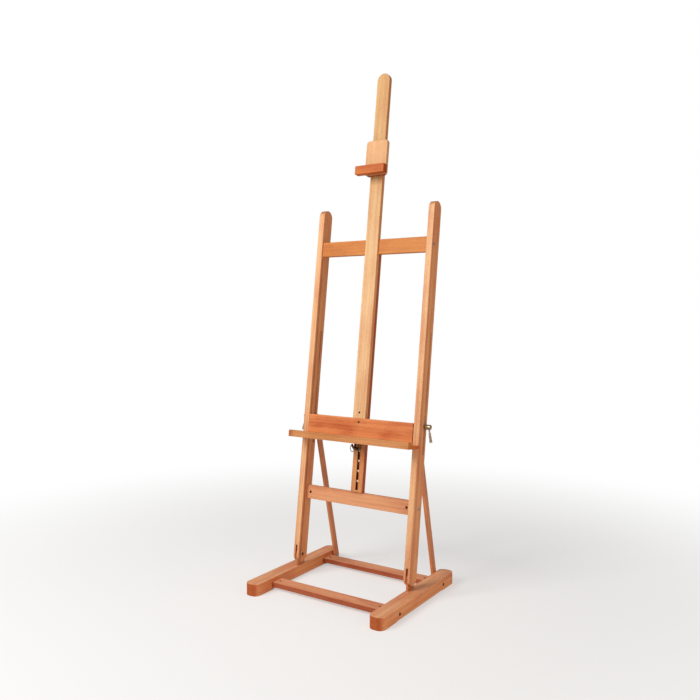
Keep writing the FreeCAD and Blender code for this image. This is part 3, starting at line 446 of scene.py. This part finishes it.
# Crossbars: the two rails that tie the uprights, bolted through them into barrel nuts. The
# upper one is the oranger, and both are evenly grained from end to end.
ACROSS_LEAN = (LEAN, -90.0, 0.0)
top_rail_wood = beech(
    "top_crossbar_beech", turn=ACROSS_LEAN, shift=(0.06, 0.05, 3.3), light=(220, 140, 65),
    dark=(185, 105, 45), ring_strength=0.32, mottle=0.35,
)
dress("top_crossbar", top_rail_wood)
low_rail_wood = beech(
    "lower_crossbar_beech", turn=ACROSS_LEAN, shift=(0.02, 0.09, 8.6), light=(230, 165, 120),
    dark=(200, 125, 85), ring_strength=0.32, mottle=0.35,
)
dress("lower_crossbar", low_rail_wood)

# Ratchet post: stands on the lower crossbar and runs up behind the mast, with a saw-toothed
# groove cut down its middle. The groove carries painted shade, and its ledges and tooth tips
# carry painted highlights.
GROOVE_HALF = 0.0056                      # half the groove's width and a little over
GROOVE_FRONT = -0.01655                   # just behind the post's front, across the lean
GROOVE_BACK = -0.0025                     # just behind the roots of the teeth
TOOTH_PITCH = 0.0385
FIRST_LEDGE = 0.37201                     # lowest ledge, along the lean
TIP_START = 0.80                          # share of a tooth's height where its painted highlight starts
LEDGE_FACING = 0.8                        # least upward part of a ledge's normal
RAMP_FACING = -0.3                        # most backward part of a ramp's normal
GROOVE_SHADE_STRENGTH = 0.85
GROOVE_SHADE_TONE = (96, 34, 12)
TIP_HIGHLIGHT_STRENGTH = 0.9
TIP_HIGHLIGHT_TONE = (252, 226, 200)
# Its sides get a darker, redder side tint as painted shade.
ratchet_wood = beech(
    "ratchet_post_beech", turn=ALONG_LEAN, shift=(0.0, 0.0, 6.1), light=(225, 160, 100),
    dark=(195, 115, 70), figure_and_shade_faces=SIDE_FACES, figure_and_shade_tint=(215, 165, 145),
)
tree = ratchet_wood.node_tree
shader = tree.nodes["Principled BSDF"]
planed = shader.inputs["Base Color"].links[0].from_socket
place = tree.nodes.new("ShaderNodeTexCoord")
straight = tree.nodes.new("ShaderNodeMapping")
straight.inputs["Rotation"].default_value = (math.radians(LEAN), 0.0, 0.0)
tree.links.new(place.outputs["Object"], straight.inputs["Vector"])
where = tree.nodes.new("ShaderNodeSeparateXYZ")
tree.links.new(straight.outputs[0], where.inputs[0])
faces = tree.nodes.new("ShaderNodeMapping")
faces.vector_type = "NORMAL"
faces.inputs["Rotation"].default_value = (math.radians(LEAN), 0.0, 0.0)
tree.links.new(place.outputs["Normal"], faces.inputs["Vector"])
facing = tree.nodes.new("ShaderNodeSeparateXYZ")
tree.links.new(faces.outputs[0], facing.inputs[0])
in_width = math_node(tree, "LESS_THAN", math_node(tree, "ABSOLUTE", where.outputs[0]), GROOVE_HALF)
in_depth = math_node(tree, "LESS_THAN", where.outputs[1], GROOVE_BACK)
off_front = math_node(tree, "GREATER_THAN", where.outputs[1], GROOVE_FRONT)
in_groove = math_node(tree, "MULTIPLY", math_node(tree, "MULTIPLY", in_width, in_depth), off_front)
# Painted highlights: the up-facing ledges, and the front of each tooth near its tip, are made pale.
up_face = math_node(tree, "GREATER_THAN", facing.outputs[2], LEDGE_FACING)
climb = math_node(tree, "SUBTRACT", where.outputs[2], FIRST_LEDGE)
teeth = math_node(tree, "DIVIDE", climb, TOOTH_PITCH)
highlight_tip = math_node(tree, "GREATER_THAN", math_node(tree, "FRACT", teeth), TIP_START)
front_face = math_node(tree, "LESS_THAN", facing.outputs[1], RAMP_FACING)
ledge = math_node(tree, "MAXIMUM", up_face, math_node(tree, "MULTIPLY", highlight_tip, front_face))
# Painted shade: the groove is darkened everywhere except on its ledges and tooth tips.
groove_shade = math_node(tree, "MULTIPLY", in_groove, math_node(tree, "SUBTRACT", 1.0, ledge))
pale = math_node(tree, "MULTIPLY", in_groove, ledge)
groove_shade_amount = math_node(tree, "MULTIPLY", groove_shade, GROOVE_SHADE_STRENGTH)
highlight_amount = math_node(tree, "MULTIPLY", pale, TIP_HIGHLIGHT_STRENGTH)
colour = mixed(tree, groove_shade_amount, planed, tone(*GROOVE_SHADE_TONE))
colour = mixed(tree, highlight_amount, colour, tone(*TIP_HIGHLIGHT_TONE))
tree.links.new(colour, shader.inputs["Base Color"])
dress("ratchet_post", ratchet_wood)


# Mast: one long pale board with a round top, half lapped behind the shelf board. It is tinted
# darker towards its top as painted shade, and its sides get the side tint, partly edge figure
# and partly painted shade.
def shaded_along(material, axis, low, high, tint):
    """Tints a finished wood gradually between two places along a frame axis, in metres."""
    tree = material.node_tree
    shader = tree.nodes["Principled BSDF"]
    finished = shader.inputs["Base Color"].links[0].from_socket
    place = tree.nodes.new("ShaderNodeTexCoord")
    split = tree.nodes.new("ShaderNodeSeparateXYZ")
    tree.links.new(place.outputs["Object"], split.inputs[0])
    ramp = stepped(tree, split.outputs[axis], low=low, high=high)
    tinted = mixed(tree, 1.0, finished, tone(*tint), blend="MULTIPLY")
    tree.links.new(mixed(tree, ramp, finished, tinted), shader.inputs["Base Color"])


ACROSS = 0
UPWARDS = 2
mast_wood = beech(
    "mast_beech", turn=ALONG_LEAN, shift=(0.04, 0.07, 9.4), light=(240, 200, 150),
    dark=(215, 150, 105), ring_strength=0.34, figure_and_shade_faces=SIDE_FACES,
)
# Painted shade: darker towards the top of the mast.
shaded_along(mast_wood, axis=UPWARDS, low=1.0, high=1.7, tint=(235, 230, 210))
dress("mast", mast_wood)

# Shelf: a deep red-brown board with a mottled figure, over a flat tray with a raised lip.
# The board's grain runs across, and its tongues slide in the uprights.
board_wood = beech(
    "shelf_board_beech", turn=ACROSS_LEAN, shift=(0.03, 0.11, 1.2), light=(240, 155, 95),
    dark=(195, 95, 50), mottle=0.5,
)
dress("shelf_board", board_wood)
tray_wood = beech(
    "tray_board_beech", turn=ACROSS_LEAN, shift=(0.08, 0.05, 2.2), light=(225, 150, 100),
    dark=(195, 115, 70), ring_strength=0.4, mottle=0.4, end_tint=(255, 200, 130),
)
dress("tray_board", tray_wood)
lip_wood = beech(
    "tray_lip_beech", turn=ACROSS_LEAN, shift=(0.06, 0.02, 5.7), light=(215, 150, 95),
    dark=(185, 115, 65), ring_strength=0.38, mottle=0.35, end_tint=(255, 235, 160),
)
shaded_along(lip_wood, axis=ACROSS, low=-0.235, high=-0.262, tint=(225, 195, 175))
dress("tray_lip", lip_wood)

# Canvas clamp: a pale plate that rides on the mast, with a red-brown lip bar across its foot.
# The bar's neck bridges the channel that takes the edge of a canvas.
plate_wood = beech(
    "clamp_plate_beech", turn=ALONG_LEAN, shift=(0.02, 0.02, 0.9), light=(235, 185, 135),
    dark=(215, 155, 100), ring_strength=0.3, mottle=0.25,
)
dress("canvas_clamp_plate", plate_wood)
clamp_lip_wood = beech(
    "clamp_lip_beech", turn=ACROSS_LEAN, shift=(0.11, 0.03, 3.9), light=(210, 115, 35),
    dark=(180, 80, 20), ring_strength=0.4, mottle=0.4, end_tint=(230, 200, 130),
)
dress("canvas_clamp_lip", clamp_lip_wood)

# Struts: two thin legs behind the frame, bolted to the feet and clamped in the uprights'
# slots. Handling has stained them a shade darker.
ALONG_STRUT = (-13.23, 0.0, 0.0)
STRUT_PLANKS = {"left": (0.3, 0.02, 1.4), "right": (0.07, 0.08, 2.7)}
for side, shift in STRUT_PLANKS.items():
    strut_wood = beech(
        f"strut_beech_{side}", turn=ALONG_STRUT, shift=shift, light=(232, 156, 108),
        dark=(196, 118, 76), mottle=0.35,
    )
    dress(f"strut_{side}", strut_wood)

# Clamp knob: turned beech with finger hollows, on the screw behind the mast.
# Its grain runs through it, along the screw.
ALONG_SCREW = (90.0 + LEAN, 0.0, 0.0)
knob_wood = beech(
    "knob_beech", turn=ALONG_SCREW, shift=(0.02, 0.01, 0.3), light=(206, 128, 84),
    dark=(164, 90, 54), ring_strength=0.4,
)
dress("canvas_clamp_knob", knob_wood)


# Metal: turned and pressed steel and tarnished brass plate. Fine scratches, a dull film in
# patches, and bright metal where edges have rubbed.
PIT_SHARE = 0.4
SCRATCH_SHARE = 0.6
FILM_DULLNESS = 0.28

metal_group, metal_in, metal_out = new_group(
    "handled_metal",
    inputs=[
        ("Position", "NodeSocketVector", None),
        ("Clean", "NodeSocketColor", tone(190, 190, 186)),
        ("Film", "NodeSocketColor", tone(110, 106, 98)),
        ("Film Amount", "NodeSocketFloat", 0.5),
    ],
    outputs=[
        ("Color", "NodeSocketColor"),
        ("Roughness", "NodeSocketFloat"),
        ("Height", "NodeSocketFloat"),
    ],
)
tree = metal_group
spot = metal_in.outputs["Position"]
film_noise = stretched_noise(tree, spot, scale=(140.0, 140.0, 140.0), detail=4.0)
film = stepped(tree, film_noise, low=0.38, high=0.66)
film = math_node(tree, "MULTIPLY", film, metal_in.outputs["Film Amount"], clamp=True)
scratch = stretched_noise(tree, spot, scale=(260.0, 2600.0, 2600.0), detail=3.0)
pits = stretched_noise(tree, spot, scale=(1900.0, 1900.0, 1900.0), detail=2.0)
filmed = mixed(tree, film, metal_in.outputs["Clean"], metal_in.outputs["Film"])
tree.links.new(filmed, metal_out.inputs["Color"])
polish = stepped(tree, scratch, low=0.3, high=0.7, to_low=0.24, to_high=0.36)
dull = math_node(tree, "ADD", polish, math_node(tree, "MULTIPLY", film, FILM_DULLNESS))
tree.links.new(dull, metal_out.inputs["Roughness"])
scratch_relief = math_node(tree, "MULTIPLY", scratch, SCRATCH_SHARE)
pit_relief = math_node(tree, "MULTIPLY", pits, PIT_SHARE)
tree.links.new(math_node(tree, "ADD", scratch_relief, pit_relief), metal_out.inputs["Height"])

METAL_EDGE_WIDTH = 0.0008
METAL_EDGE_BREAKS = 220.0
METAL_BUMP = 0.25
METAL_BUMP_DEPTH = 0.0001


def metal(name, clean, film, film_amount, rubbed_tone, edge=0.6):
    """A finished metal with its film, scratches and rubbed corners."""
    material = bpy.data.materials.new(name)
    material.use_nodes = True
    tree = material.node_tree
    shader = tree.nodes["Principled BSDF"]
    shader.inputs["Metallic"].default_value = 1.0
    place = tree.nodes.new("ShaderNodeTexCoord")
    stock = placed_group(tree, metal_group)
    stock.inputs["Clean"].default_value = tone(*clean)
    stock.inputs["Film"].default_value = tone(*film)
    stock.inputs["Film Amount"].default_value = film_amount
    tree.links.new(place.outputs["Object"], stock.inputs["Position"])
    rubbed = placed_group(tree, edge_group)
    rubbed.inputs["Width"].default_value = METAL_EDGE_WIDTH
    rubbed.inputs["Breaks"].default_value = METAL_EDGE_BREAKS
    tree.links.new(place.outputs["Object"], rubbed.inputs["Position"])
    worn = math_node(tree, "MULTIPLY", rubbed.outputs["Mask"], edge)
    colour = mixed(tree, worn, stock.outputs["Color"], tone(*rubbed_tone))
    tree.links.new(colour, shader.inputs["Base Color"])
    tree.links.new(stock.outputs["Roughness"], shader.inputs["Roughness"])
    bump = tree.nodes.new("ShaderNodeBump")
    bump.inputs["Strength"].default_value = METAL_BUMP
    bump.inputs["Distance"].default_value = METAL_BUMP_DEPTH
    tree.links.new(stock.outputs["Height"], bump.inputs["Height"])
    tree.links.new(bump.outputs[0], shader.inputs["Normal"])
    return material


# Crossbar and strut bolts, spacers, small screws, washers, the mast's joint plate and the
# clamp's strap and screw: zinc-plated steel, dulled in patches, most of it sunk in the wood.
zinc = metal(
    "zinc_steel", clean=(196, 194, 186), film=(120, 112, 100), film_amount=0.6,
    rubbed_tone=(226, 224, 218),
)
for part in (
    "crossbar_bolts", "strut_pivot_bolts", "strut_spacers", "post_screws", "tray_screws",
    "ear_screws", "strap_screws", "mast_joint_plate", "canvas_clamp_strap", "canvas_clamp_screw",
    "clamp_bolt_head_left", "clamp_bolt_head_right", "clamp_washer_left", "clamp_washer_right",
):
    dress(part, zinc)

# Pawl, pivot and base bolts, barrel nuts and the two shelf screws: darkened steel, which
# hardly shines inside its holes.
dark_steel = metal(
    "darkened_steel", clean=(78, 68, 60), film=(40, 30, 24), film_amount=0.9,
    rubbed_tone=(120, 108, 96), edge=0.3,
)
for part in (
    "pawl", "shelf_screws", "base_bolts", "base_barrel_nuts", "crossbar_barrel_nuts", "pivot_bolts",
):
    dress(part, dark_steel)

# Pawl's ears, shaft and arm: plain pressed steel with a brown film, screwed up under the
# tray on both sides of the pawl.
ear_steel = metal(
    "brown_steel", clean=(168, 138, 112), film=(110, 80, 58), film_amount=0.8,
    rubbed_tone=(190, 166, 144),
)
for part in ("pawl_ears", "pawl_shaft", "pawl_arm"):
    dress(part, ear_steel)

# Pull ring: bent steel wire, dulled by fingers, which hangs in the eye of the pawl's arm.
# Pulling it lifts the pawl off its ledge.
ring_steel = metal(
    "ring_wire", clean=(158, 148, 132), film=(96, 84, 68), film_amount=0.6,
    rubbed_tone=(190, 182, 168),
)
dress("pull_ring", ring_steel)

# Clamp levers: cast hub and rod in tarnished brass plate, with a sleeve of the same finish
# pressed on the end of the rod.
brass = metal(
    "tarnished_brass", clean=(200, 185, 155), film=(120, 98, 72), film_amount=0.75,
    rubbed_tone=(235, 225, 205),
)
for side in ("left", "right"):
    dress(f"clamp_lever_{side}", brass)
    dress(f"lever_grip_{side}", brass)
